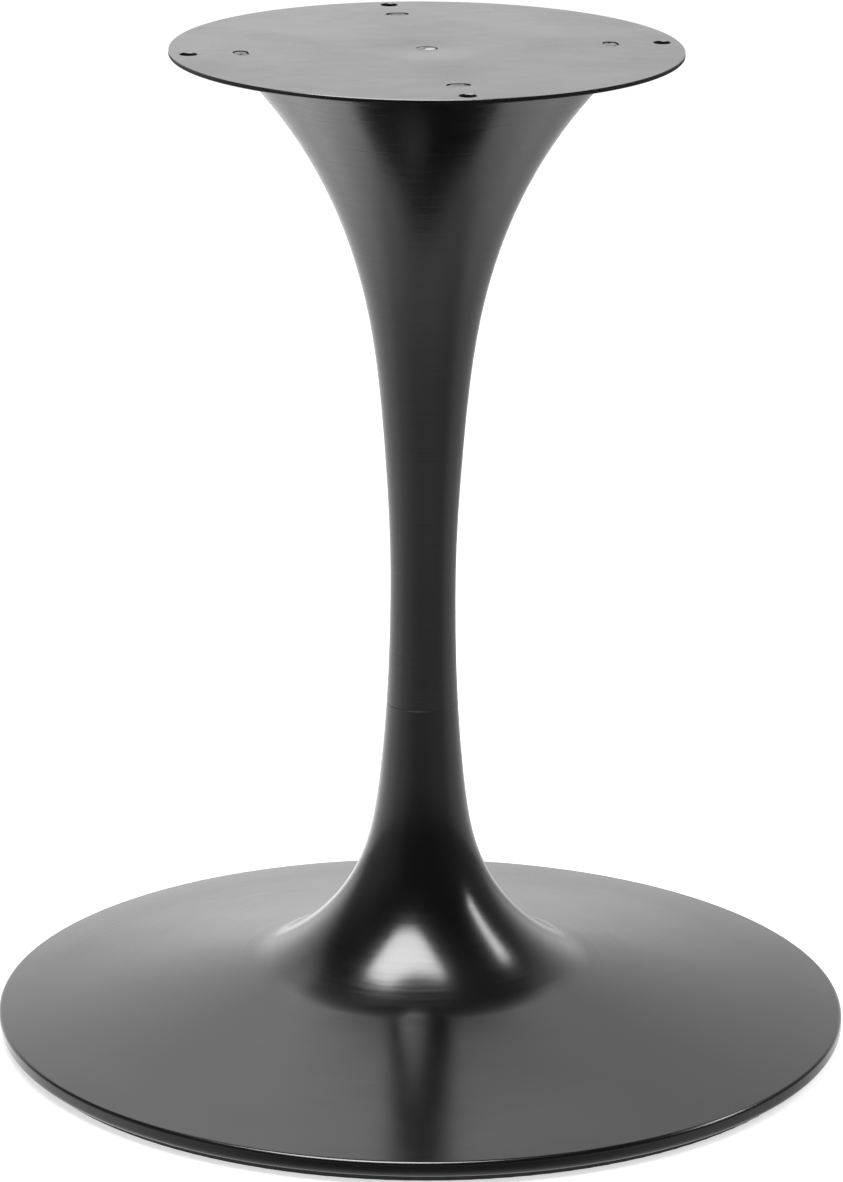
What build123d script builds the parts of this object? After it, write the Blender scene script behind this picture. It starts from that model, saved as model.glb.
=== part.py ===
# Trumpet pedestal table base: a spun base and column, a flat top plate, a tie rod and a ballast disc.
# Millimetres. The floor is Z = 0 and the Z axis runs up the middle of the column.

from build123d import *
import math
import os

# Overall
overall_height = 705.0

# Top plate
plate_radius = 175.0
plate_thickness = 3.0
plate_edge_chamfer = 0.4
bolt_circle_radius = 162.5
bolt_hole_radius = 6.0
bolt_count = 4
bolt_hole_chamfer = 0.4
rod_hole_radius = 7.5

# Plug welds that hold the plate on the column's flange
weld_slot_length = 16.5
weld_slot_width = 10.4
weld_slot_count = 4
weld_top_drop = 0.4
rod_weld_top_drop = 0.3

# Column: the mouth with its turned-in flange under the plate, the narrow waist, and the swell between them
column_wall = 2.5
mouth_radius = 135.9
mouth_lean = 44.8
mouth_handle = 175.5
mouth_flange_width = 18.0
waist_radius = 22.8
waist_height = 325.0
waist_handle_up = 115.4
belly_up_radius = 40.7
belly_up_rise = 129.2

# Base: from the waist down the stem to the fillet, the sloping disc and the rolled rim
base_wall = 2.5
base_radius = 300.0
waist_handle_down = 168.0
belly_down_radius = 43.8
belly_down_drop = 139.0
stem_foot_radius = 107.3
stem_foot_height = 54.0
stem_foot_slope = 30.0
stem_foot_handle = 110.0
foot_fillet_radius = 50.0
disc_inner_slope = 13.0
rim_top_height = 17.2
rim_top_round = 3.0
rim_bottom_round = 4.5
rim_underside_height = 6.0
rim_return_width = 18.0

# Seam between base and column, with the bush that lines them up
seam_height = 241.0
seam_chamfer = 0.15
stem_cap_hole_radius = 14.0
bush_spigot_depth = 8.0
bush_collar_height = 20.0
bush_collar_clearance = 0.25
bush_spigot_clearance = 0.1
bush_lead_chamfer = 1.5

# Tie rod and its fasteners
rod_radius = 6.0
rod_clearance = 0.6
rod_end_chamfer = 1.0
rod_end_past_nut = 0.5
rod_end_cover = 1.0
nut_across_flats = 18.0
nut_height = 10.0
nut_corner_chamfer = 0.8
washer_radius = 20.0
washer_thickness = 3.0
lock_washer_radius = 10.5
lock_washer_thickness = 2.5
lock_washer_gap = 2.0
lock_washer_gap_angle = 25.0

# Ballast disc, seated against the inside of the base
ballast_radius = 262.0
ballast_thickness = 8.0
ballast_seat_width = 15.0
ballast_boss_radius = 44.0
ballast_cup_radius = 30.0
ballast_cup_roof = 8.0
ballast_boss_fillet = 6.0
ballast_boss_round = 2.0
ballast_edge_chamfer = 1.5

# Foot ring: rubber edging clipped over the rim's inner edge
foot_ring_outer_inset = 10.0
foot_ring_web = 6.0
foot_ring_lip_reach = 6.0
foot_ring_lip_thickness = 2.5
foot_ring_round = 1.0

# Points along each free curve that its inner line passes through
inner_line_steps = 16

# Worked out from the sizes above
plate_underside = overall_height - plate_thickness
rim_inner_radius = base_radius - rim_return_width
rim_return_top = rim_underside_height + base_wall
flange_inner_radius = mouth_radius - mouth_flange_width
weld_slot_circle_radius = mouth_radius - mouth_flange_width / 2
rod_bore_radius = rod_radius + rod_clearance
drawing_reach = base_radius + overall_height


def heading(degrees):
    # Unit step in the drawing plane, where x is radius and y is height.
    return Vector(math.cos(math.radians(degrees)), math.sin(math.radians(degrees)))


def column_line():
    # Outer face from the waist up to the mouth.
    waist = Vector(waist_radius, waist_height)
    belly = Vector(belly_up_radius, waist_height + belly_up_rise)
    mouth = Vector(mouth_radius, plate_underside)
    below_mouth = mouth - heading(mouth_lean) * mouth_handle
    return Bezier(waist, waist + heading(90) * waist_handle_up, belly, below_mouth, mouth)


def stem_line():
    # Outer face from the waist down to the foot of the stem.
    waist = Vector(waist_radius, waist_height)
    belly = Vector(belly_down_radius, waist_height - belly_down_drop)
    foot = Vector(stem_foot_radius, stem_foot_height)
    above_foot = foot - heading(-stem_foot_slope) * stem_foot_handle
    return Bezier(waist, waist - heading(90) * waist_handle_down, belly, above_foot, foot)


def disc_line():
    # Outer face from the foot of the stem out over the disc, round the rim and in underneath it.
    foot = Vector(stem_foot_radius, stem_foot_height)
    turn = stem_foot_slope - disc_inner_slope
    fillet_arc = JernArc(foot, heading(-stem_foot_slope), foot_fillet_radius, turn)
    edge = Vector(base_radius, rim_top_height)
    disc_arc = TangentArc(fillet_arc @ 1, edge, tangent=fillet_arc % 1)
    corner = Vector(base_radius, rim_underside_height)
    side = Line(edge, corner)
    underside = Line(corner, (rim_inner_radius, rim_underside_height))
    line = Wire([fillet_arc, disc_arc, side, underside])
    line = line.fillet_2d(rim_top_round, line.vertices().sort_by_distance(edge)[:1])
    return line.fillet_2d(rim_bottom_round, line.vertices().sort_by_distance(corner)[:1])


def inner_line(line, thickness, side):
    # A free curve moved sideways by a wall's thickness, to its left (1) or its right (-1).
    steps = [step / inner_line_steps for step in range(inner_line_steps + 1)]
    points = [line @ step + (line % step).rotate(Axis.Z, 90 * side) * thickness for step in steps]
    return Spline(points, tangents=[line % 0, line % 1])


def curved_wall(line, thickness, side):
    # Even wall between a free curve and its inner line.
    inner = inner_line(line, thickness, side)
    return make_face(Wire([line, Line(line @ 1, inner @ 1), inner, Line(inner @ 0, line @ 0)]))


def shell_wall(edges, thickness):
    # Even wall under a line of arcs and straights drawn outwards.
    return make_face(Wire(edges).offset_2d(thickness, side=Side.RIGHT, closed=True))


def inside(edges, low, high):
    # Everything between the axis and an outer line that runs from low to high.
    bottom = Line((0, low.Y), low)
    top = Line(high, (0, high.Y))
    return make_face(Wire([*edges, bottom, top, Line((0, high.Y), (0, low.Y))]))


def ring(inner, outer, low, high):
    # Section of a plain ring about the axis.
    box = Rectangle(outer - inner, high - low, align=(Align.MIN, Align.MIN))
    return Pos(inner, low) * box


def reach(region, height):
    # How far out a drawn region reaches at one height.
    level = Edge.make_line((0, height), (drawing_reach, height))
    return max(vertex.X for vertex in level.intersect(region).vertices())


def rise(region, radius):
    # How far up a drawn region reaches at one radius.
    upright = Edge.make_line((radius, 0), (radius, overall_height))
    return max(vertex.Y for vertex in upright.intersect(region).vertices())


def corner_at(section, radius, height):
    # The corner of a section that is nearest to one place.
    return section.vertices().sort_by_distance((radius, height))[:1]


def spun(section):
    return revolve(Plane.XZ * section, Axis.Z)


# The shells' outer line, from the waist up and from the waist down
up_line = column_line()
down_line = stem_line()
base_edges = disc_line().edges()
body_inside = inside([down_line, up_line], down_line @ 1, up_line @ 1)
base_inside = inside([down_line, *base_edges], Vector(rim_inner_radius, rim_underside_height), down_line @ 0)
seam_radius = reach(body_inside, seam_height)
seam_groove = Pos(seam_radius, seam_height) * Rot(0, 0, 45)
seam_groove = seam_groove * Rectangle(seam_chamfer * math.sqrt(2), seam_chamfer * math.sqrt(2))

# Column, from the seam to the underside of the plate
column_wall_section = curved_wall(down_line, column_wall, -1) + curved_wall(up_line, column_wall, 1)
column_hollow = body_inside - column_wall_section
flange_bottom = plate_underside - column_wall
flange = ring(flange_inner_radius, mouth_radius, flange_bottom, plate_underside) & body_inside
column_section = column_wall_section & ring(0, drawing_reach, seam_height, plate_underside)
column_section = column_section + flange - seam_groove
column = spun(column_section)

# Base shell, from the rim to the seam, with the stem's end turned in as a cap
base_wall_section = curved_wall(down_line, base_wall, -1) + shell_wall(base_edges, base_wall)
base_hollow = base_inside - base_wall_section
stem_cap = base_inside & ring(stem_cap_hole_radius, drawing_reach, seam_height - base_wall, seam_height)
base_section = base_wall_section & ring(0, drawing_reach, 0, seam_height)
base_section = base_section + stem_cap - seam_groove
base_shell = spun(base_section)

# Bush that stands on the stem's cap and lines the column up with it
bush_top = seam_height + bush_collar_height
bush_collar_radius = reach(column_hollow, bush_top) - bush_collar_clearance
bush_spigot_radius = stem_cap_hole_radius - bush_spigot_clearance
bush_section = ring(rod_bore_radius, bush_spigot_radius, seam_height - bush_spigot_depth, bush_top)
bush_section = bush_section + ring(rod_bore_radius, bush_collar_radius, seam_height, bush_top)
bush_section = chamfer(corner_at(bush_section, bush_collar_radius, bush_top), bush_lead_chamfer)
centring_bush = spun(bush_section)

# Ballast disc: a cast plate under the sloping disc, with a hollow boss for the fasteners
ballast_top = rise(base_hollow, ballast_radius - ballast_seat_width)
ballast_bottom = ballast_top - ballast_thickness
nut_bottom = ballast_bottom + rod_end_cover + rod_end_past_nut
lock_washer_bottom = nut_bottom + nut_height
washer_bottom = lock_washer_bottom + lock_washer_thickness
cup_ceiling = washer_bottom + washer_thickness
boss_top = cup_ceiling + ballast_cup_roof
ballast_section = ring(ballast_cup_radius, ballast_radius, ballast_bottom, ballast_top) & base_hollow
ballast_section = ballast_section + ring(ballast_cup_radius, ballast_boss_radius, ballast_bottom, boss_top)
ballast_section = ballast_section + ring(rod_bore_radius, ballast_boss_radius, cup_ceiling, boss_top)
ballast_section = fillet(corner_at(ballast_section, ballast_boss_radius, ballast_top), ballast_boss_fillet)
ballast_section = fillet(corner_at(ballast_section, ballast_boss_radius, boss_top), ballast_boss_round)
ballast_section = chamfer(corner_at(ballast_section, ballast_radius, ballast_bottom), ballast_edge_chamfer)
ballast_disc = spun(ballast_section)

# Foot ring: sits under the rim's inner edge and grips it from inside
ring_inner = rim_inner_radius - foot_ring_web
ring_outer = base_radius - foot_ring_outer_inset
lip_top = rim_return_top + foot_ring_lip_thickness
foot_section = ring(ring_inner, ring_outer, 0, rim_underside_height)
foot_section = foot_section + ring(ring_inner, rim_inner_radius, 0, lip_top)
foot_section = foot_section + ring(ring_inner, rim_inner_radius + foot_ring_lip_reach, rim_return_top, lip_top)
foot_section = fillet(corner_at(foot_section, ring_outer, 0), foot_ring_round)
foot_section = fillet(corner_at(foot_section, ring_inner, 0), foot_ring_round)
foot_ring = spun(foot_section)

# Top plate, with its bolt holes, weld slots and middle hole
top_plate = Pos(0, 0, plate_underside) * extrude(Circle(plate_radius), plate_thickness)
top_plate = chamfer(top_plate.edges().filter_by(GeomType.CIRCLE), plate_edge_chamfer)
bolt_hole = Pos(0, 0, plate_underside) * extrude(Circle(bolt_hole_radius), plate_thickness)
hole_mouth = Pos(0, 0, overall_height - bolt_hole_chamfer)
hole_mouth = hole_mouth * extrude(Circle(bolt_hole_radius), bolt_hole_chamfer, taper=-45)
top_plate = top_plate - PolarLocations(bolt_circle_radius, bolt_count) * (bolt_hole + hole_mouth)
weld_slot = Rot(0, 0, 90) * SlotOverall(weld_slot_length, weld_slot_width)
weld_slots = Sketch() + PolarLocations(weld_slot_circle_radius, weld_slot_count) * weld_slot
top_plate = top_plate - Pos(0, 0, plate_underside) * extrude(weld_slots, plate_thickness)
top_plate = top_plate - Pos(0, 0, plate_underside) * extrude(Circle(rod_hole_radius), plate_thickness)

# Plug welds in the slots, on the column's flange, and the weld round the rod's end
slot_welds = Pos(0, 0, plate_underside) * extrude(weld_slots, plate_thickness - weld_top_drop)
rod_top = overall_height - rod_weld_top_drop
rod_weld = spun(ring(rod_radius, rod_hole_radius, plate_underside, rod_top))

# Tie rod, from the plate down through bush and ballast to the nut
rod_section = ring(0, rod_radius, nut_bottom - rod_end_past_nut, rod_top)
rod_section = chamfer(corner_at(rod_section, rod_radius, nut_bottom - rod_end_past_nut), rod_end_chamfer)
tie_rod = spun(rod_section)

# Washer, spring washer and nut in the ballast's cup
clamp_washer = spun(ring(rod_bore_radius, washer_radius, washer_bottom, cup_ceiling))
lock_washer = spun(ring(rod_bore_radius, lock_washer_radius, lock_washer_bottom, washer_bottom))
split_reach = lock_washer_radius + nut_across_flats
split = extrude(Plane.YZ * Rectangle(lock_washer_gap, split_reach), split_reach)
split = Pos(0, 0, lock_washer_bottom + lock_washer_thickness / 2) * Rot(lock_washer_gap_angle, 0, 0) * split
lock_washer = lock_washer - split
nut_corner_radius = nut_across_flats / math.sqrt(3)
nut_section = ring(rod_radius, nut_corner_radius, nut_bottom, lock_washer_bottom)
nut_section = chamfer(corner_at(nut_section, nut_corner_radius, nut_bottom), nut_corner_chamfer)
nut_section = chamfer(corner_at(nut_section, nut_corner_radius, lock_washer_bottom), nut_corner_chamfer)
nut_hexagon = extrude(RegularPolygon(nut_across_flats / 2, 6, major_radius=False), nut_height)
clamp_nut = spun(nut_section) & (Pos(0, 0, nut_bottom) * nut_hexagon)

nodes = {
    "top_plate": top_plate,
    "slot_welds": slot_welds,
    "rod_weld": rod_weld,
    "tie_rod": tie_rod,
    "column": column,
    "centring_bush": centring_bush,
    "base_shell": base_shell,
    "foot_ring": foot_ring,
    "ballast_disc": ballast_disc,
    "clamp_washer": clamp_washer,
    "lock_washer": lock_washer,
    "clamp_nut": clamp_nut,
}

os.makedirs("parts", exist_ok=True)
for name, shape in nodes.items():
    export_step(shape, f"parts/{name}.step")
    box = shape.bounding_box()
    print(name, round(shape.volume), "mm3, Z", round(box.min.Z, 2), "to", round(box.max.Z, 2))
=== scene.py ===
import math

import bmesh
import bpy
from mathutils import Matrix, Vector, noise


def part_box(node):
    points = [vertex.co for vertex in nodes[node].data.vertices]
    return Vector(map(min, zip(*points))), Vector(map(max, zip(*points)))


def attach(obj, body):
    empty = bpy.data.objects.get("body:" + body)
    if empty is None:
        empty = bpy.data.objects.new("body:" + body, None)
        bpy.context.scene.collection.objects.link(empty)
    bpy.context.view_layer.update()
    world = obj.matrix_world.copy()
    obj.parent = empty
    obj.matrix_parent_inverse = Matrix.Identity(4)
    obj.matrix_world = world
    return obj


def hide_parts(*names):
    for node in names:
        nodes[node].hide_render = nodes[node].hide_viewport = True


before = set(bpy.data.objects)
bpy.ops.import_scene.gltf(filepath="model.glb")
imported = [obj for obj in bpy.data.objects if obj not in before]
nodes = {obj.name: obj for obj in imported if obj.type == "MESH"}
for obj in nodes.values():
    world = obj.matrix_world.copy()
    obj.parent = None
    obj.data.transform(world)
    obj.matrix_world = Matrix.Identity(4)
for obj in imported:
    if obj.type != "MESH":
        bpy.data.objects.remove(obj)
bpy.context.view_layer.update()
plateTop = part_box("top_plate")[1][2]
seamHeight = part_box("base_shell")[1][2]
cameraTurn = 0.1657  # radians round from -Y to the camera, and the studio stands square to it
print("frame loaded:", len(nodes), "nodes")


# Node helpers

def newMaterial(name):
    material = bpy.data.materials.new(name)
    material.use_nodes = True
    tree = material.node_tree
    return material, tree, tree.nodes["Principled BSDF"]


def addNode(tree, kind, inputs=None, **settings):
    node = tree.nodes.new(kind)
    for name, value in settings.items():
        setattr(node, name, value)
    for name, value in (inputs or {}).items():
        if isinstance(value, bpy.types.NodeSocket):
            tree.links.new(value, node.inputs[name])
        else:
            node.inputs[name].default_value = value
    return node


def mathNode(tree, operation, first, second=0.0, third=0.0):
    return addNode(tree, "ShaderNodeMath", {0: first, 1: second, 2: third}, operation=operation).outputs[0]


def lengthOf(tree, vector):
    return addNode(tree, "ShaderNodeVectorMath", {0: vector}, operation="LENGTH").outputs["Value"]


def stretched(tree, vector, factors):
    return addNode(tree, "ShaderNodeVectorMath", {0: vector, 1: factors}, operation="MULTIPLY").outputs[0]


def vectorOf(tree, x, y, z):
    return addNode(tree, "ShaderNodeCombineXYZ", {"X": x, "Y": y, "Z": z}).outputs[0]


def rangeNode(tree, value, low, high, toLow=0.0, toHigh=1.0, ease="LINEAR"):
    inputs = {"Value": value, "From Min": low, "From Max": high, "To Min": toLow, "To Max": toHigh}
    return addNode(tree, "ShaderNodeMapRange", inputs, interpolation_type=ease).outputs[0]


def noiseNode(tree, place, scale, detail=2.0, roughness=0.5):
    inputs = {"Vector": place, "Scale": scale, "Detail": detail, "Roughness": roughness}
    return addNode(tree, "ShaderNodeTexNoise", inputs).outputs["Fac"]


def mixColours(tree, share, first, second):
    inputs = {"Factor": share, "A": first, "B": second}
    return addNode(tree, "ShaderNodeMix", inputs, data_type="RGBA").outputs["Result"]


def bumpTo(tree, shader, height):
    bump = addNode(tree, "ShaderNodeBump", {"Height": height, "Distance": 1.0, "Strength": 1.0})
    tree.links.new(bump.outputs["Normal"], shader.inputs["Normal"])


def objectPlace(tree):
    return addNode(tree, "ShaderNodeTexCoord").outputs["Object"]


def turnedPlace(tree):
    # "rings" is radius and height as a vector: a pattern on it is the same all the way round.
    place = objectPlace(tree)
    apart = addNode(tree, "ShaderNodeSeparateXYZ", {"Vector": place}).outputs
    radius = lengthOf(tree, vectorOf(tree, apart["X"], apart["Y"], 0.0))
    rings = vectorOf(tree, radius, 0.0, apart["Z"])
    return {"place": place, "radius": radius, "height": apart["Z"], "rings": rings}


# Mesh helpers

def onCircle(radius, angle, height):
    return (radius * math.cos(angle), radius * math.sin(angle), height)


def ringFaces(first, steps, count):
    # Quads between neighbouring sections of a turned form, all the way round from the point numbered first.
    faces = []
    for step in range(steps):
        here = first + step * count
        following = first + (step + 1) % steps * count
        for corner in range(count):
            later = (corner + 1) % count
            faces.append((here + corner, following + corner, following + later, here + later))
    return faces


def newPiece(name, points, faces, material):
    mesh = bpy.data.meshes.new(name)
    mesh.from_pydata(points, [], faces)
    mesh.materials.append(material)
    piece = bpy.data.objects.new(name, mesh)
    bpy.context.scene.collection.objects.link(piece)
    return piece


# Paint: satin black over spun steel, with the turning lines showing through

paint = {
    "colour": (0.0040, 0.0040, 0.0043, 1),
    "dustColour": (0.30, 0.30, 0.29, 1),
    "ior": 1.5,
    "roughness": 0.18,
    "roughnessSpread": 0.04,
    "hazeScale": 14.0,
    "peelScale": 700.0,
    "peelDepth": 0.000018,
    "lineScale": 420.0,
    "lineDepth": 0.000036,
    "lineRoughness": 0.05,
    "broadLineScale": 90.0,
    "broadLineDepth": 0.00005,
    "streaks": (22.0, 22.0, 1500.0),  # how dense they are along X, Y and Z
    "streakRoughness": 0.10,
    "streakDepth": 0.000022,
    "seamDullness": 0.16,
    "seamWithin": 0.00017,  # the paint that has filled the seam is dull this far up and down,
    "seamFade": 0.0004,  # and has its usual gloss from here on
    "dentScale": 11.0,
    "dentDepth": 0.0005,
    "dustScale": 34.0,
    "dustSize": 0.011,
}

# Share of each effect on the two spun parts, and of the dust's cells that hold a speck
columnPaint = {"lines": 1.0, "streaks": 1.0, "dents": 0.25, "dust": 0.03}
basePaint = {"lines": 0.6, "streaks": 0.15, "dents": 1.0, "dust": 0.12}


def dustSpecks(tree, place, amount):
    # Few and small: the middle of some cells only.
    cells = addNode(tree, "ShaderNodeTexVoronoi", {"Vector": place, "Scale": paint["dustScale"]})
    chosen = addNode(tree, "ShaderNodeSeparateColor", {"Color": cells.outputs["Color"]})
    picked = mathNode(tree, "LESS_THAN", chosen.outputs["Red"], amount)
    size = mathNode(tree, "MULTIPLY", chosen.outputs["Green"], paint["dustSize"])
    return mathNode(tree, "MULTIPLY", picked, mathNode(tree, "LESS_THAN", cells.outputs["Distance"], size))


def paintMaterial(name, strength):
    # Streaks are drawn out level, as the spinning tool leaves them on an upright part.
    material, tree, shader = newMaterial(name)
    at = turnedPlace(tree)
    place = at["place"]
    peel = noiseNode(tree, place, paint["peelScale"], 3.0)
    fine = noiseNode(tree, at["rings"], paint["lineScale"])
    broad = noiseNode(tree, at["rings"], paint["broadLineScale"])
    haze = rangeNode(tree, noiseNode(tree, place, paint["hazeScale"], 4.0), 0.3, 0.7, -0.5, 0.5)
    lines = rangeNode(tree, fine, 0.35, 0.65, 0.0, paint["lineRoughness"] * strength["lines"])
    drawn = stretched(tree, place, paint["streaks"])
    streak = rangeNode(tree, noiseNode(tree, drawn, 1.0, 3.0, 0.6), 0.35, 0.65, -0.5, 0.5)
    rough = mathNode(tree, "MULTIPLY_ADD", haze, paint["roughnessSpread"], paint["roughness"])
    rough = mathNode(tree, "MULTIPLY_ADD", streak, paint["streakRoughness"] * strength["streaks"], rough)
    fromSeam = mathNode(tree, "ABSOLUTE", mathNode(tree, "SUBTRACT", at["height"], seamHeight))
    filled = rangeNode(tree, fromSeam, paint["seamWithin"], paint["seamFade"], paint["seamDullness"], 0.0)
    rough = mathNode(tree, "ADD", rough, filled)
    tree.links.new(mathNode(tree, "ADD", rough, lines), shader.inputs["Roughness"])
    lineHeight = mathNode(tree, "MULTIPLY", fine, paint["lineDepth"] * strength["lines"])
    broadHeight = mathNode(tree, "MULTIPLY", broad, paint["broadLineDepth"] * strength["lines"])
    lineHeight = mathNode(tree, "ADD", lineHeight, broadHeight)
    surface = mathNode(tree, "MULTIPLY_ADD", peel, paint["peelDepth"], lineHeight)
    surface = mathNode(tree, "MULTIPLY_ADD", streak, paint["streakDepth"] * strength["streaks"], surface)
    dents = noiseNode(tree, place, paint["dentScale"], 1.0)
    surface = mathNode(tree, "MULTIPLY_ADD", dents, paint["dentDepth"] * strength["dents"], surface)
    bumpTo(tree, shader, surface)
    specks = dustSpecks(tree, place, strength["dust"])
    colour = mixColours(tree, specks, paint["colour"], paint["dustColour"])
    tree.links.new(colour, shader.inputs["Base Color"])
    shader.inputs["IOR"].default_value = paint["ior"]
    return material


plate = {
    "roughness": 0.24,
    "roughnessSpread": 0.07,
    "smudgeScale": 9.0,
    "dishDepth": 0.0006,
    "dishRadius": 0.05,
    "waveScale": 16.0,
    "waveDepth": 0.0004,
    "scratchScale": 26.0,
    "scratchStretch": (1.0, 6.0, 1.0),
    "scratchDepth": 0.000012,
    "scratchRoughness": 0.03,
    "specks": 0.05,
    "speckColour": (0.001, 0.001, 0.001, 1),
}


def plateMaterial():
    # Flat plate: duller than the spun parts, with smudges, fine scratches and a shallow dish at the weld.
    material, tree, shader = newMaterial("platePaint")
    at = turnedPlace(tree)
    place = at["place"]
    smudge = rangeNode(tree, noiseNode(tree, place, plate["smudgeScale"], 5.0, 0.6), 0.35, 0.7, -0.5, 0.5)
    drawn = stretched(tree, place, plate["scratchStretch"])
    scratch = rangeNode(tree, noiseNode(tree, drawn, plate["scratchScale"], 6.0, 0.7), 0.60, 0.66)
    rough = mathNode(tree, "MULTIPLY_ADD", smudge, plate["roughnessSpread"], plate["roughness"])
    rough = mathNode(tree, "MULTIPLY_ADD", scratch, plate["scratchRoughness"], rough)
    tree.links.new(rough, shader.inputs["Roughness"])
    dish = rangeNode(tree, at["radius"], 0.0, plate["dishRadius"], -plate["dishDepth"], 0.0, "SMOOTHERSTEP")
    peel = mathNode(tree, "MULTIPLY", noiseNode(tree, place, paint["peelScale"], 3.0), paint["peelDepth"])
    waves = mathNode(tree, "MULTIPLY", noiseNode(tree, place, plate["waveScale"]), plate["waveDepth"])
    surface = mathNode(tree, "ADD", peel, waves)
    surface = mathNode(tree, "MULTIPLY_ADD", scratch, -plate["scratchDepth"], surface)
    bumpTo(tree, shader, mathNode(tree, "ADD", dish, surface))
    specks = dustSpecks(tree, place, plate["specks"])
    colour = mixColours(tree, specks, paint["colour"], plate["speckColour"])
    tree.links.new(colour, shader.inputs["Base Color"])
    shader.inputs["IOR"].default_value = paint["ior"]
    return material


weld = {
    "colour": (0.003, 0.003, 0.003, 1),
    "paleColour": (0.02, 0.02, 0.019, 1),
    "patchScale": 240.0,
    "smoothest": 0.2,
    "roughest": 0.42,
    "grainScale": 900.0,
    "grainDepth": 0.00005,
}


def weldMaterial():
    # Weld bead under paint: the same black, with paler and duller patches.
    material, tree, shader = newMaterial("weldPaint")
    place = objectPlace(tree)
    grain = noiseNode(tree, place, weld["grainScale"], 4.0, 0.6)
    patch = noiseNode(tree, place, weld["patchScale"])
    bumpTo(tree, shader, mathNode(tree, "MULTIPLY", grain, weld["grainDepth"]))
    rough = rangeNode(tree, patch, 0.35, 0.65, weld["smoothest"], weld["roughest"])
    tree.links.new(rough, shader.inputs["Roughness"])
    tone = mixColours(tree, rangeNode(tree, patch, 0.4, 0.6), weld["colour"], weld["paleColour"])
    tree.links.new(tone, shader.inputs["Base Color"])
    shader.inputs["IOR"].default_value = paint["ior"]
    return material


zinc = {
    "colour": (0.62, 0.63, 0.65, 1),
    "dullColour": (0.36, 0.37, 0.39, 1),
    "patchScale": 60.0,
    "smoothest": 0.28,
    "roughest": 0.42,
    "grainScale": 500.0,
    "grainDepth": 0.00002,
    "threadPitch": 0.00175,
    "threadDepth": 0.0003,
    "threadEnd": 0.045,
}


def zincMaterial(name, thread=False):
    # Bright zinc with a fine grain and dull patches, and the rod's thread as a fine relief near the nut.
    material, tree, shader = newMaterial(name)
    at = turnedPlace(tree)
    grain = noiseNode(tree, at["place"], zinc["grainScale"], 4.0)
    patch = rangeNode(tree, noiseNode(tree, at["place"], zinc["patchScale"], 3.0), 0.4, 0.65)
    tone = mixColours(tree, patch, zinc["colour"], zinc["dullColour"])
    tree.links.new(tone, shader.inputs["Base Color"])
    rough = rangeNode(tree, grain, 0.3, 0.7, zinc["smoothest"], zinc["roughest"])
    tree.links.new(rough, shader.inputs["Roughness"])
    relief = mathNode(tree, "MULTIPLY", grain, zinc["grainDepth"])
    if thread:
        turns = mathNode(tree, "MULTIPLY", at["height"], math.tau / zinc["threadPitch"])
        threaded = mathNode(tree, "LESS_THAN", at["height"], zinc["threadEnd"])
        wave = mathNode(tree, "MULTIPLY", mathNode(tree, "SINE", turns), threaded)
        relief = mathNode(tree, "MULTIPLY_ADD", wave, zinc["threadDepth"], relief)
    bumpTo(tree, shader, relief)
    shader.inputs["Metallic"].default_value = 1.0
    return material


iron = {
    "colour": (0.030, 0.029, 0.028, 1),
    "rustColour": (0.060, 0.036, 0.024, 1),
    "blotchScale": 18.0,
    "smoothest": 0.55,
    "roughest": 0.8,
    "pitScale": 220.0,
    "pitDepth": 0.0004,
}


def castIronMaterial():
    # Sand-cast skin under a thin primer, with a little rust in the low places.
    material, tree, shader = newMaterial("castIron")
    place = objectPlace(tree)
    skin = noiseNode(tree, place, iron["pitScale"], 6.0, 0.65)
    blotch = noiseNode(tree, place, iron["blotchScale"], 4.0, 0.6)
    rust = mathNode(tree, "MULTIPLY", rangeNode(tree, blotch, 0.52, 0.7), rangeNode(tree, skin, 0.55, 0.4))
    tone = mixColours(tree, rust, iron["colour"], iron["rustColour"])
    tree.links.new(tone, shader.inputs["Base Color"])
    rough = rangeNode(tree, blotch, 0.3, 0.7, iron["smoothest"], iron["roughest"])
    tree.links.new(rough, shader.inputs["Roughness"])
    bumpTo(tree, shader, mathNode(tree, "MULTIPLY", skin, iron["pitDepth"]))
    return material


rubber = {
    "colour": (0.011, 0.011, 0.0115, 1),
    "scuffColour": (0.035, 0.034, 0.033, 1),
    "scuffScale": 90.0,
    "scuffHeight": 0.0025,
    "smoothest": 0.5,
    "roughest": 0.68,
    "drawScale": 1400.0,
    "drawDepth": 0.00003,
    "grainScale": 700.0,
    "grainDepth": 0.00004,
}


def rubberMaterial():
    # Extruded rubber: fine draw lines round the ring and paler scuffs low down.
    material, tree, shader = newMaterial("blackRubber")
    at = turnedPlace(tree)
    drawn = noiseNode(tree, at["rings"], rubber["drawScale"])
    grain = noiseNode(tree, at["place"], rubber["grainScale"], 4.0)
    low = rangeNode(tree, at["height"], rubber["scuffHeight"], 0.0)
    patch = rangeNode(tree, noiseNode(tree, at["place"], rubber["scuffScale"], 4.0), 0.45, 0.65)
    scuff = mathNode(tree, "MULTIPLY", low, patch)
    tone = mixColours(tree, scuff, rubber["colour"], rubber["scuffColour"])
    tree.links.new(tone, shader.inputs["Base Color"])
    rough = rangeNode(tree, grain, 0.3, 0.7, rubber["smoothest"], rubber["roughest"])
    tree.links.new(rough, shader.inputs["Roughness"])
    grained = mathNode(tree, "MULTIPLY", grain, rubber["grainDepth"])
    bumpTo(tree, shader, mathNode(tree, "MULTIPLY_ADD", drawn, rubber["drawDepth"], grained))
    return material


bush = {
    "colour": (0.48, 0.47, 0.45, 1),
    "toolScale": 2600.0,
    "toolDepth": 0.00002,
    "filmScale": 70.0,
    "smoothest": 0.22,
    "roughest": 0.38,
}


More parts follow.
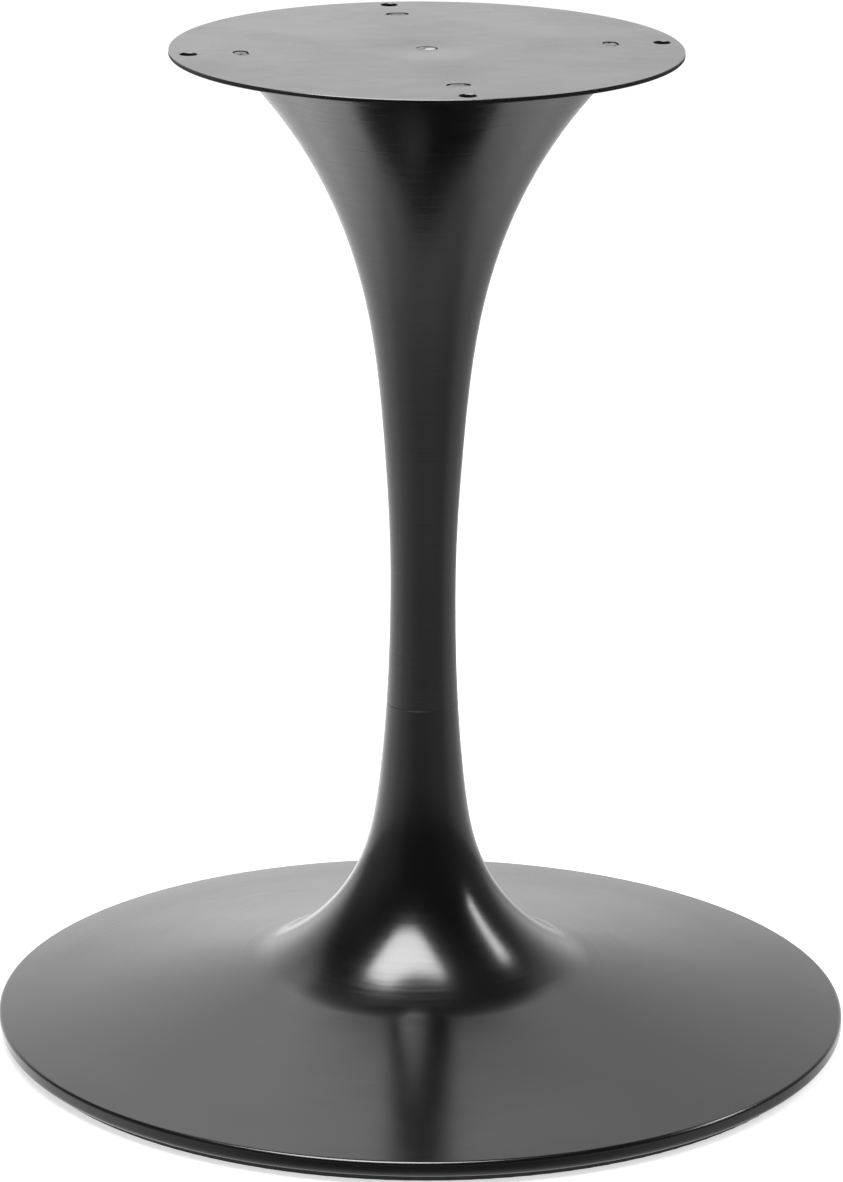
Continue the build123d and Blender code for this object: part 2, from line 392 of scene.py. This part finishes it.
def turnedMaterial():
    # Lathe-turned steel: tool lines round the axis and a film of oil.
    material, tree, shader = newMaterial("turnedSteel")
    at = turnedPlace(tree)
    tool = noiseNode(tree, at["rings"], bush["toolScale"], 1.0)
    film = noiseNode(tree, at["place"], bush["filmScale"], 3.0)
    shader.inputs["Base Color"].default_value = bush["colour"]
    shader.inputs["Metallic"].default_value = 1.0
    rough = rangeNode(tree, film, 0.3, 0.7, bush["smoothest"], bush["roughest"])
    tree.links.new(rough, shader.inputs["Roughness"])
    bumpTo(tree, shader, mathNode(tree, "MULTIPLY", tool, bush["toolDepth"]))
    return material


finishes = {
    "column": paintMaterial("columnPaint", columnPaint),
    "base_shell": paintMaterial("basePaint", basePaint),
    "top_plate": plateMaterial(),
    "slot_welds": weldMaterial(),
    "tie_rod": zincMaterial("zincRod", thread=True),
    "clamp_washer": zincMaterial("zincWasher"),
    "lock_washer": zincMaterial("zincSpring"),
    "clamp_nut": zincMaterial("zincNut"),
    "centring_bush": turnedMaterial(),
    "ballast_disc": castIronMaterial(),
    "foot_ring": rubberMaterial(),
}
finishes["rod_weld"] = finishes["slot_welds"]
for name, material in finishes.items():
    mesh = nodes[name].data
    mesh.materials.clear()
    mesh.materials.append(material)
print("finishes given:", len(finishes))


# Spun parts: each one's own section turned in finer steps, so that the paint mirrors without facets

turned = {
    "steps": 400,
    "sharpAngle": 32.0,
    "mergeWithin": 0.000001,
    "cutWithin": 0.000002,
    "straightWithin": 0.0000004,  # a section point this close to its neighbours' line is left out
}


def sectionLoops(node):
    # Closed outlines, as radius and height, where the half plane through +X and Z cuts a turned part.
    cut = bmesh.new()
    cut.from_mesh(node.data)
    bmesh.ops.remove_doubles(cut, verts=cut.verts, dist=turned["mergeWithin"])
    everything = cut.verts[:] + cut.edges[:] + cut.faces[:]
    found = bmesh.ops.bisect_plane(cut, geom=everything, dist=turned["cutWithin"], plane_co=(0, 0, 0),
                                   plane_no=(0, 1, 0))
    edges = [item for item in found["geom_cut"] if isinstance(item, bmesh.types.BMEdge)]
    links = {}
    for edge in edges:
        first, second = edge.verts
        if first.co.x > 0 and second.co.x > 0:
            links.setdefault(first, []).append(second)
            links.setdefault(second, []).append(first)
    loops = []
    while links:
        start = next(iter(links))
        loop = [start]
        while links.get(loop[-1]):
            here = loop[-1]
            onward = links[here].pop()
            links[onward].remove(here)
            loop.append(onward)
        for vertex in set(loop):
            if not links.get(vertex):
                links.pop(vertex, None)
        if loop[0] is loop[-1] and len(loop) > 3:
            loops.append([(vertex.co.x, vertex.co.z) for vertex in loop[:-1]])
    cut.free()
    return loops


def withoutStraights(loop):
    kept = []
    for order, (radius, height) in enumerate(loop):
        before = loop[order - 1]
        after = loop[(order + 1) % len(loop)]
        span = math.hypot(after[0] - before[0], after[1] - before[1])
        area = (after[0] - before[0]) * (height - before[1]) - (after[1] - before[1]) * (radius - before[0])
        if abs(area) > turned["straightWithin"] * span:
            kept.append((radius, height))
    return kept


def turnedPiece(name, nodeName):
    points = []
    faces = []
    steps = turned["steps"]
    for loop in sectionLoops(nodes[nodeName]):
        loop = withoutStraights(loop)
        area = sum(a[0] * b[1] - b[0] * a[1] for a, b in zip(loop, loop[1:] + loop[:1]))
        if area < 0:
            loop.reverse()
        faces += ringFaces(len(points), steps, len(loop))
        for step in range(steps):
            angle = math.tau * step / steps
            points += [onCircle(radius, angle, height) for radius, height in loop]
    piece = newPiece(name, points, faces, finishes[nodeName])
    piece.data.shade_smooth()
    piece.data.set_sharp_from_angle(angle=math.radians(turned["sharpAngle"]))
    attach(piece, "root")
    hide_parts(nodeName)
    print("turned finer:", nodeName, len(faces), "faces")


turnedPiece("columnTurned", "column")
turnedPiece("baseShellTurned", "base_shell")


# Plug welds: four beads, nearly flush with the plate, each with the weld's last crater at one end

slotWelds = {
    "slotWidth": 0.0104,
    "length": 0.0163,
    "width": 0.0102,
    "straightSine": 0.333,  # directions nearer to straight across than this make the slot's straight sides
    "count": 4,
    "topDrop": 0.00015,
    "depth": 0.0026,
    "edgeDrop": 0.0007,
    "edgeFrom": 0.7,  # share of the way out at which the edge starts to fall
    "lumpHeight": 0.00035,
    "lumpScale": 420.0,
    "lumpSink": 0.75,  # share of the lumps' height taken off again, to keep them below the plate's top
    "lumpyWithin": 0.0018,  # only points nearer to the top than this are moved
    "craterDepth": 0.0016,
    "craterRadius": 0.0017,
    "craterFlat": 0.3,  # share of its radius that is at full depth
    "craterPlace": 0.0052,
    "segments": 64,
    "rings": 32,
    "seed": 3.0,
}
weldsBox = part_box("slot_welds")
beadInputs = {
    "Length": slotWelds["length"],
    "Width": slotWelds["width"],
    "Circle Radius": (weldsBox[1][0] - weldsBox[0][0]) / 2 - slotWelds["slotWidth"] / 2,
    "Top": plateTop - slotWelds["topDrop"],
    "Depth": slotWelds["depth"] - slotWelds["topDrop"],
    "Edge Drop": slotWelds["edgeDrop"],
    "Lump Height": slotWelds["lumpHeight"],
    "Lump Scale": slotWelds["lumpScale"],
    "Lumpy Within": slotWelds["lumpyWithin"],
    "Crater Depth": slotWelds["craterDepth"],
    "Crater Radius": slotWelds["craterRadius"],
    "Crater Place": slotWelds["craterPlace"],
    "Seed": slotWelds["seed"],
    "Count": slotWelds["count"],
}


def weldBeadTree(material):
    tree = bpy.data.node_groups.new("weldBeads", "GeometryNodeTree")
    tree.interface.new_socket(name="Geometry", in_out="OUTPUT", socket_type="NodeSocketGeometry")
    for name, value in beadInputs.items():
        kind = "NodeSocketInt" if isinstance(value, int) else "NodeSocketFloat"
        tree.interface.new_socket(name=name, in_out="INPUT", socket_type=kind)
    given = addNode(tree, "NodeGroupInput").outputs

    # A ball is flattened and drawn out along Y to the slot's outline.
    size = {"Segments": slotWelds["segments"], "Rings": slotWelds["rings"], "Radius": 1.0}
    ball = addNode(tree, "GeometryNodeMeshUVSphere", size)
    at = addNode(tree, "GeometryNodeInputPosition").outputs[0]
    part = addNode(tree, "ShaderNodeSeparateXYZ", {"Vector": at}).outputs
    reach = lengthOf(tree, vectorOf(tree, part["X"], part["Y"], 0.0))
    halfWidth = mathNode(tree, "MULTIPLY", given["Width"], 0.5)
    stretch = mathNode(tree, "MULTIPLY", mathNode(tree, "SUBTRACT", given["Length"], given["Width"]), 0.5)
    offPole = mathNode(tree, "MAXIMUM", reach, 0.001)  # nothing is divided by nought at the poles
    slope = mathNode(tree, "DIVIDE", part["Y"], offPole)
    sideways = rangeNode(tree, slope, -slotWelds["straightSine"], slotWelds["straightSine"], -1.0, 1.0)
    shift = mathNode(tree, "MULTIPLY", mathNode(tree, "MULTIPLY", stretch, sideways), reach)
    across = mathNode(tree, "MULTIPLY", part["X"], halfWidth)
    along = mathNode(tree, "MULTIPLY_ADD", part["Y"], halfWidth, shift)

    # Its upper half takes the edge's fall and the crater, and its lower half lies flat.
    edge = rangeNode(tree, reach, slotWelds["edgeFrom"], 1.0, ease="SMOOTHSTEP")
    fall = mathNode(tree, "MULTIPLY", edge, given["Edge Drop"])
    toCrater = vectorOf(tree, across, mathNode(tree, "SUBTRACT", along, given["Crater Place"]), 0.0)
    apart = mathNode(tree, "DIVIDE", lengthOf(tree, toCrater), given["Crater Radius"])
    hollow = rangeNode(tree, apart, 1.0, slotWelds["craterFlat"], ease="SMOOTHSTEP")
    crater = mathNode(tree, "MULTIPLY", hollow, given["Crater Depth"])
    upper = mathNode(tree, "SUBTRACT", mathNode(tree, "SUBTRACT", given["Top"], fall), crater)
    lower = mathNode(tree, "SUBTRACT", given["Top"], given["Depth"])
    onTop = mathNode(tree, "GREATER_THAN", part["Z"], -0.01)  # the widest ring belongs to the upper half
    level = mathNode(tree, "MULTIPLY_ADD", mathNode(tree, "SUBTRACT", upper, lower), onTop, lower)
    shape = {"Geometry": ball.outputs["Mesh"], "Position": vectorOf(tree, across, along, level)}
    bead = addNode(tree, "GeometryNodeSetPosition", shape)

    # The bead is set round the circle, and then gets its lumps, so that no two beads are alike.
    ringOfBeads = {"Vertices": given["Count"], "Radius": given["Circle Radius"]}
    circle = addNode(tree, "GeometryNodeMeshCircle", ringOfBeads)
    order = addNode(tree, "GeometryNodeInputIndex").outputs[0]
    turn = mathNode(tree, "MULTIPLY", order, mathNode(tree, "DIVIDE", math.tau, given["Count"]))
    beads = addNode(tree, "GeometryNodeInstanceOnPoints", {
        "Points": circle.outputs["Mesh"],
        "Instance": bead.outputs["Geometry"],
        "Rotation": vectorOf(tree, 0.0, 0.0, turn),
    })
    real = addNode(tree, "GeometryNodeRealizeInstances", {"Geometry": beads.outputs["Instances"]})
    pattern = {"Vector": at, "Scale": given["Lump Scale"], "W": given["Seed"], "Detail": 2.0}
    lumps = addNode(tree, "ShaderNodeTexNoise", pattern, noise_dimensions="4D").outputs["Fac"]
    lumps = mathNode(tree, "SUBTRACT", lumps, slotWelds["lumpSink"])
    lift = mathNode(tree, "MULTIPLY", lumps, given["Lump Height"])
    floorOfLumps = mathNode(tree, "SUBTRACT", given["Top"], given["Lumpy Within"])
    lumpy = addNode(tree, "GeometryNodeSetPosition", {
        "Geometry": real.outputs["Geometry"],
        "Selection": mathNode(tree, "GREATER_THAN", part["Z"], floorOfLumps),
        "Offset": vectorOf(tree, 0.0, 0.0, lift),
    })
    smooth = addNode(tree, "GeometryNodeSetShadeSmooth", {"Geometry": lumpy.outputs["Geometry"]})
    final = {"Geometry": smooth.outputs["Geometry"], "Material": material}
    painted = addNode(tree, "GeometryNodeSetMaterial", final)
    addNode(tree, "NodeGroupOutput", {"Geometry": painted.outputs["Geometry"]})
    return tree


def grown(name, tree, values):
    # The node tree's result as a plain mesh.
    piece = bpy.data.objects.new(name, bpy.data.meshes.new(name))
    bpy.context.scene.collection.objects.link(piece)
    modifier = piece.modifiers.new("grow", "NODES")
    modifier.node_group = tree
    for item in tree.interface.items_tree:
        if item.name in values:
            modifier[item.identifier] = values[item.name]
    view = bpy.context.evaluated_depsgraph_get()
    piece.data = bpy.data.meshes.new_from_object(piece.evaluated_get(view))
    piece.modifiers.clear()
    return piece


beads = grown("weldBeads", weldBeadTree(finishes["slot_welds"]), beadInputs)
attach(beads, "root")
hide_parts("slot_welds")
print("plug welds:", len(beads.data.vertices), "vertices")


# Weld round the rod's end: a bead that has run over the rod on one side and left a pinhole on the other

rodWeld = {
    "outerRadius": 0.00745,
    "rodRadius": 0.00602,
    "thinInner": 0.0055,
    "wideInner": 0.0012,
    "wideSide": 172.0,  # degrees round from the viewer's right, where the bead covers most of the rod
    "wideGather": 1.5,  # above one draws the cover together on that side
    "rodTop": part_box("tie_rod")[1][2],
    "rodClear": 0.00001,
    "plateClear": 0.00002,
    "bottom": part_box("rod_weld")[0][2],
    "crown": 0.00024,
    "crownFullness": 0.6,
    "waviness": 0.0004,
    "waveScale": 1.7,
    "waveSeed": 3.1,
    "grain": 0.00009,
    "grainScale": 420,
    "grainSeed": 0.5,
    "pinholeAt": -6.0,
    "pinholeDepth": 0.0017,
    "pinholeWidth": 16.0,
    "pinholeRim": 0.0004,
    "steps": 120,
    "rows": 10,
}


def rodWeldSection(degrees):
    # The bead's outline at this bearing, from its foot over the crown and down inside.
    angle = math.radians(degrees)
    seen = degrees + math.degrees(cameraTurn)  # as the camera sees it, from its right
    ripple = noise.noise(Vector(onCircle(1.0, angle, rodWeld["waveSeed"])) * rodWeld["waveScale"])
    cover = 0.5 + 0.5 * math.cos(math.radians(seen - rodWeld["wideSide"]))
    narrowing = (rodWeld["wideInner"] - rodWeld["thinInner"]) * cover ** rodWeld["wideGather"]
    inner = rodWeld["thinInner"] + narrowing + ripple * rodWeld["waviness"]
    away = (seen - rodWeld["pinholeAt"] + 180) % 360 - 180
    hole = math.exp(-(away / rodWeld["pinholeWidth"]) ** 2)
    section = [(rodWeld["outerRadius"], rodWeld["bottom"])]
    for row in range(rodWeld["rows"] + 1):
        share = row / rodWeld["rows"]
        radius = rodWeld["outerRadius"] + (inner - rodWeld["outerRadius"]) * share
        swell = math.sin(math.pi * share) ** rodWeld["crownFullness"] * rodWeld["crown"]
        grainPlace = Vector(onCircle(radius, angle, rodWeld["grainSeed"])) * rodWeld["grainScale"]
        rough = noise.noise(grainPlace) * rodWeld["grain"]
        ringShare = max(0.0, min(1.0, (radius - rodWeld["rodRadius"]) / rodWeld["pinholeRim"]))
        level = rodWeld["rodTop"] + rodWeld["rodClear"] + max(0.0, swell + rough)
        level = level - hole * ringShare * rodWeld["pinholeDepth"]
        section.append((radius, min(level, plateTop - rodWeld["plateClear"])))
    section.append((rodWeld["rodRadius"], rodWeld["rodTop"]))
    section.append((rodWeld["rodRadius"], rodWeld["bottom"]))
    return section


def makeRodWeld():
    steps = rodWeld["steps"]
    points = []
    for step in range(steps):
        degrees = 360 * step / steps
        section = rodWeldSection(degrees)
        points += [onCircle(radius, math.radians(degrees), height) for radius, height in section]
    bead = newPiece("rodWeldBead", points, ringFaces(0, steps, len(section)), finishes["rod_weld"])
    bead.data.shade_smooth()
    return bead


rodBead = makeRodWeld()
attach(rodBead, "root")
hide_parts("rod_weld")
print("rod weld:", len(rodBead.data.vertices), "vertices")


# Studio: white to the camera, and in the paint a bright backdrop behind the table base and a darker room on
# the camera's side. The floor glows in the paint's reflections with a painted pool of light, brighter to the
# left, and a painted shadow ring round the base. Bearings are degrees to the right of the backdrop's middle.

studio = {
    "around": [(-180, 0.06), (-150, 0.1), (-120, 0.33), (-95, 0.45), (-65, 0.40), (-57, 0.45), (-50, 0.8),
               (-45, 1.08), (-36, 1.44), (-25, 1.58), (-10, 1.45), (3, 1.15), (9, 0.97), (15, 1.12),
               (25, 1.07), (33, 0.92), (41, 0.7), (50, 0.42), (60, 0.3), (90, 0.2), (120, 0.12), (150, 0.07),
               (180, 0.06)],
    "backdropRise": [(0, 1.15), (11, 1.15), (18, 1.0), (33, 1.0), (40, 1.45), (44, 1.25), (49, 0.5),
                     (60, 0.2), (70, 0.1), (90, 0.05)],
    "roomRise": [(0, 1.0), (15, 0.85), (30, 0.45), (40, 0.2), (60, 0.12), (90, 0.08)],
    "roomUpTo": 0.4,  # where "around" is below this the room's rise holds,
    "backdropFrom": 1.0,  # and from this on the backdrop's
    "brightest": 2.5,
    "fillLight": 0.45,
}
floorLook = {
    "half": 6.0,
    "colour": (0.9, 0.9, 0.9, 1),
    "roughness": 0.9,
    "glow": 0.6,
    # sides, reach and front are painted light on the floor, seen only in reflections: a pool brighter to the
    # left that fades with reach, and at the front a painted shadow ring just outside the base's rim
    "sides": [(-180, 0.9), (-150, 1.1), (-120, 1.35), (-90, 2.1), (-60, 2.3), (-20, 2.0), (0, 1.4),
              (30, 1.05), (60, 1.25), (90, 1.3), (120, 0.75), (150, 0.8), (180, 0.9)],
    "reach": [(0.0, 1.0), (0.6, 1.0), (0.95, 0.66), (1.4, 0.58), (2.0, 0.72), (2.4, 0.66), (2.8, 0.12),
              (6.0, 0.1)],
    "front": [(0.0, 0.9), (0.308, 0.9), (0.33, 0.12), (0.38, 0.12), (0.46, 1.0), (0.6, 0.95), (1.0, 0.6),
              (1.3, 0.36), (1.9, 0.33), (2.3, 0.08), (6.0, 0.05)],
    "sidesUpTo": 125,  # bearing to either side where the front starts to take over,
    "frontFrom": 170,  # and where it is alone
}
degree = math.radians(1)


def lightRamp(tree, stops, value, unit=1.0):
    # Brightness by angle or reach, made smaller inside the ramp because its colours end at one.
    low = stops[0][0]
    high = stops[-1][0]
    brightest = studio["brightest"]
    share = rangeNode(tree, value, low * unit, high * unit)
    ramp = addNode(tree, "ShaderNodeValToRGB", {"Fac": share})
    ramp.color_ramp.interpolation = "EASE"
    points = ramp.color_ramp.elements
    while len(points) < len(stops):
        points.new(0.5)
    for point, (at, light) in zip(points, stops):
        point.position = (at - low) / (high - low)
        point.color = (light / brightest, light / brightest, light / brightest, 1)
    return mathNode(tree, "MULTIPLY", ramp.outputs["Color"], brightest)


def bearing(tree, direction):
    # Angle round the object from the backdrop's middle, positive to the right as the camera sees it.
    def partAlong(axis):
        node = addNode(tree, "ShaderNodeVectorMath", {0: direction, 1: axis}, operation="DOT_PRODUCT")
        return node.outputs["Value"]

    level = (math.cos(cameraTurn), -math.sin(cameraTurn), 0)
    away = (math.sin(cameraTurn), math.cos(cameraTurn), 0)
    return mathNode(tree, "ARCTAN2", partAlong(level), partAlong(away))


def glowNode(tree, strength):
    glow = addNode(tree, "ShaderNodeEmission", {"Color": (1, 1, 1, 1), "Strength": strength})
    return glow.outputs["Emission"]


def makeFloor():
    half = floorLook["half"]
    corners = [(-half, -half, 0), (half, -half, 0), (half, half, 0), (-half, half, 0)]
    material, tree, shader = newMaterial("floorWhite")
    floor = newPiece("floor", corners, [(0, 1, 2, 3)], material)
    shader.inputs["Base Color"].default_value = floorLook["colour"]
    shader.inputs["Roughness"].default_value = floorLook["roughness"]
    lightPath = addNode(tree, "ShaderNodeLightPath").outputs
    glow = mathNode(tree, "MULTIPLY", lightPath["Is Camera Ray"], floorLook["glow"])
    shader.inputs["Emission Color"].default_value = (1, 1, 1, 1)
    tree.links.new(glow, shader.inputs["Emission Strength"])
    at = turnedPlace(tree)
    angle = bearing(tree, at["place"])
    sides = lightRamp(tree, floorLook["sides"], angle, degree)
    sides = mathNode(tree, "MULTIPLY", sides, lightRamp(tree, floorLook["reach"], at["radius"]))
    front = lightRamp(tree, floorLook["front"], at["radius"])
    aside = mathNode(tree, "ABSOLUTE", angle)
    share = rangeNode(tree, aside, floorLook["sidesUpTo"] * degree, floorLook["frontFrom"] * degree,
                      ease="SMOOTHSTEP")
    paintedLightPool = addNode(tree, "ShaderNodeMix", {"Factor": share, "A": sides, "B": front}).outputs["Result"]
    # Mirrored rays see the floor as a glow with this painted pool of light and painted shadow, in place of
    # its lit white
    inPaint = {0: lightPath["Is Glossy Ray"], 1: shader.outputs["BSDF"], 2: glowNode(tree, paintedLightPool)}
    mixed = addNode(tree, "ShaderNodeMixShader", inPaint).outputs[0]
    fromBelow = addNode(tree, "ShaderNodeNewGeometry").outputs["Backfacing"]
    clear = addNode(tree, "ShaderNodeBsdfTransparent").outputs["BSDF"]  # shows the underside from below
    oneSided = addNode(tree, "ShaderNodeMixShader", {0: fromBelow, 1: mixed, 2: clear}).outputs[0]
    tree.links.new(oneSided, tree.nodes["Material Output"].inputs["Surface"])


def makeWorld():
    world = bpy.data.worlds.new("studio")
    bpy.context.scene.world = world
    world.use_nodes = True
    tree = world.node_tree
    background = tree.nodes["Background"].inputs
    direction = addNode(tree, "ShaderNodeTexCoord").outputs["Generated"]
    upwards = addNode(tree, "ShaderNodeSeparateXYZ", {"Vector": direction}).outputs["Z"]
    around = lightRamp(tree, studio["around"], bearing(tree, direction), degree)
    rise = mathNode(tree, "ARCSINE", upwards)
    backdrop = lightRamp(tree, studio["backdropRise"], rise, degree)
    room = lightRamp(tree, studio["roomRise"], rise, degree)
    share = rangeNode(tree, around, studio["roomUpTo"], studio["backdropFrom"])
    fall = addNode(tree, "ShaderNodeMix", {"Factor": share, "A": room, "B": backdrop}).outputs["Result"]
    mirrored = mathNode(tree, "MULTIPLY", around, fall)
    lightPath = addNode(tree, "ShaderNodeLightPath").outputs
    unseen = {"Factor": lightPath["Is Glossy Ray"], "A": studio["fillLight"], "B": mirrored}
    soft = addNode(tree, "ShaderNodeMix", unseen).outputs["Result"]
    shown = addNode(tree, "ShaderNodeMix", {"Factor": lightPath["Is Camera Ray"], "A": soft, "B": 1.0})
    background["Color"].default_value = (1, 1, 1, 1)
    tree.links.new(shown.outputs["Result"], background["Strength"])


# Lamps: places are right, away and up from the object as the camera sees it, "along" is the lamp's width

lamps = {
    "softboxFill": {
        "at": (-0.445, -0.71, 2.5), "facing": (0, 0, -1), "along": (0.974, -0.225, 0),
        "shape": "ELLIPSE", "width": 2.3, "depth": 1.85, "radiance": 4.0,
        "diffuse": True, "glossy": False,
    },
    "stripRight": {
        "at": (1.87, 0.25, 1.51), "facing": (-1.87, -0.25, -1.3), "along": (0.55, -1.01, -0.52),
        "shape": "RECTANGLE", "width": 1.3, "depth": 0.3, "radiance": 14.0,
        "diffuse": True, "glossy": True,
    },
}


def asSeen(place):
    right, away, up = place
    sine = math.sin(cameraTurn)
    cosine = math.cos(cameraTurn)
    return Vector((right * cosine + away * sine, -right * sine + away * cosine, up))


def makeLamp(name, facts):
    data = bpy.data.lights.new(name, "AREA")
    data.shape = facts["shape"]
    data.size = facts["width"]
    data.size_y = facts["depth"]
    area = facts["width"] * facts["depth"] * (math.pi / 4 if facts["shape"] == "ELLIPSE" else 1)
    data.energy = facts["radiance"] * math.pi * area
    back = -asSeen(facts["facing"]).normalized()
    along = asSeen(facts["along"])
    along = (along - back * along.dot(back)).normalized()
    across = back.cross(along)
    lamp = bpy.data.objects.new(name, data)
    bpy.context.scene.collection.objects.link(lamp)
    aimed = Matrix((along, across, back)).transposed().to_4x4()
    lamp.matrix_world = Matrix.Translation(asSeen(facts["at"])) @ aimed
    lamp.visible_diffuse = facts["diffuse"]
    lamp.visible_glossy = facts["glossy"]


# Softbox overhead: straight at the backdrop's side and round at the camera's, as the paint mirrors it

softbox = {
    "at": (-0.30, -0.08, 2.5),
    "along": (0.974, -0.225, 0),
    "halfWidth": 0.87,
    "depth": 1.56,
    "squareness": 2.6,  # 2 is an ellipse
    "corners": 32,
    "radiance": 18.0,
}


def makeSoftbox():
    middle = asSeen(softbox["at"])
    along = asSeen(softbox["along"]).normalized()
    near = along.cross(Vector((0, 0, 1)))
    corners = []
    for step in range(softbox["corners"] + 1):
        angle = math.pi * step / softbox["corners"]
        sideways = math.copysign(abs(math.cos(angle)) ** (2 / softbox["squareness"]), math.cos(angle))
        forwards = abs(math.sin(angle)) ** (2 / softbox["squareness"])
        side = along * sideways * softbox["halfWidth"]
        corners.append(middle + side + near * forwards * softbox["depth"])
    material, tree, shader = newMaterial("softboxCloth")
    tree.links.new(glowNode(tree, softbox["radiance"]), tree.nodes["Material Output"].inputs["Surface"])
    tree.nodes.remove(shader)
    panel = newPiece("softboxTop", corners, [range(len(corners))], material)
    panel.visible_camera = False
    panel.visible_diffuse = False
    panel.visible_shadow = False


makeFloor()
makeWorld()
makeSoftbox()
for lampName, lampFacts in lamps.items():
    makeLamp(lampName, lampFacts)
print("studio lit:", len(lamps), "lamps")


# Camera, worked out from the ellipses of the plate and the base

viewpoint = {
    "distance": 3.5832,
    "height": 1.3966,
    "yaw": -0.0003,
    "pitch": 0.2915,
    "roll": 0.0070,
    "focalPixels": 5363.86,
    "imageHeight": 1182.0,
    "sensor": 36.0,
    "clipEnd": 60,
}


def makeCamera():
    aim = viewpoint["yaw"] + cameraTurn
    pitch = viewpoint["pitch"]
    roll = viewpoint["roll"]
    forward = Vector((math.sin(aim) * math.cos(pitch), math.cos(aim) * math.cos(pitch), -math.sin(pitch)))
    level = Vector((math.cos(aim), -math.sin(aim), 0))
    upright = level.cross(forward)
    right = math.cos(roll) * level + math.sin(roll) * upright
    up = -math.sin(roll) * level + math.cos(roll) * upright
    place = Vector((-math.sin(cameraTurn), -math.cos(cameraTurn), 0)) * viewpoint["distance"]
    place.z = viewpoint["height"]
    data = bpy.data.cameras.new("camera")
    data.sensor_width = viewpoint["sensor"]
    data.lens = viewpoint["focalPixels"] / viewpoint["imageHeight"] * viewpoint["sensor"]
    data.clip_end = viewpoint["clipEnd"]
    camera = bpy.data.objects.new("camera", data)
    bpy.context.scene.collection.objects.link(camera)
    camera.matrix_world = Matrix((
        (right.x, up.x, -forward.x, place.x),
        (right.y, up.y, -forward.y, place.y),
        (right.z, up.z, -forward.z, place.z),
        (0, 0, 0, 1),
    ))
    bpy.context.scene.camera = camera


makeCamera()
bpy.context.scene.view_settings.view_transform = "Standard"
print("camera placed")
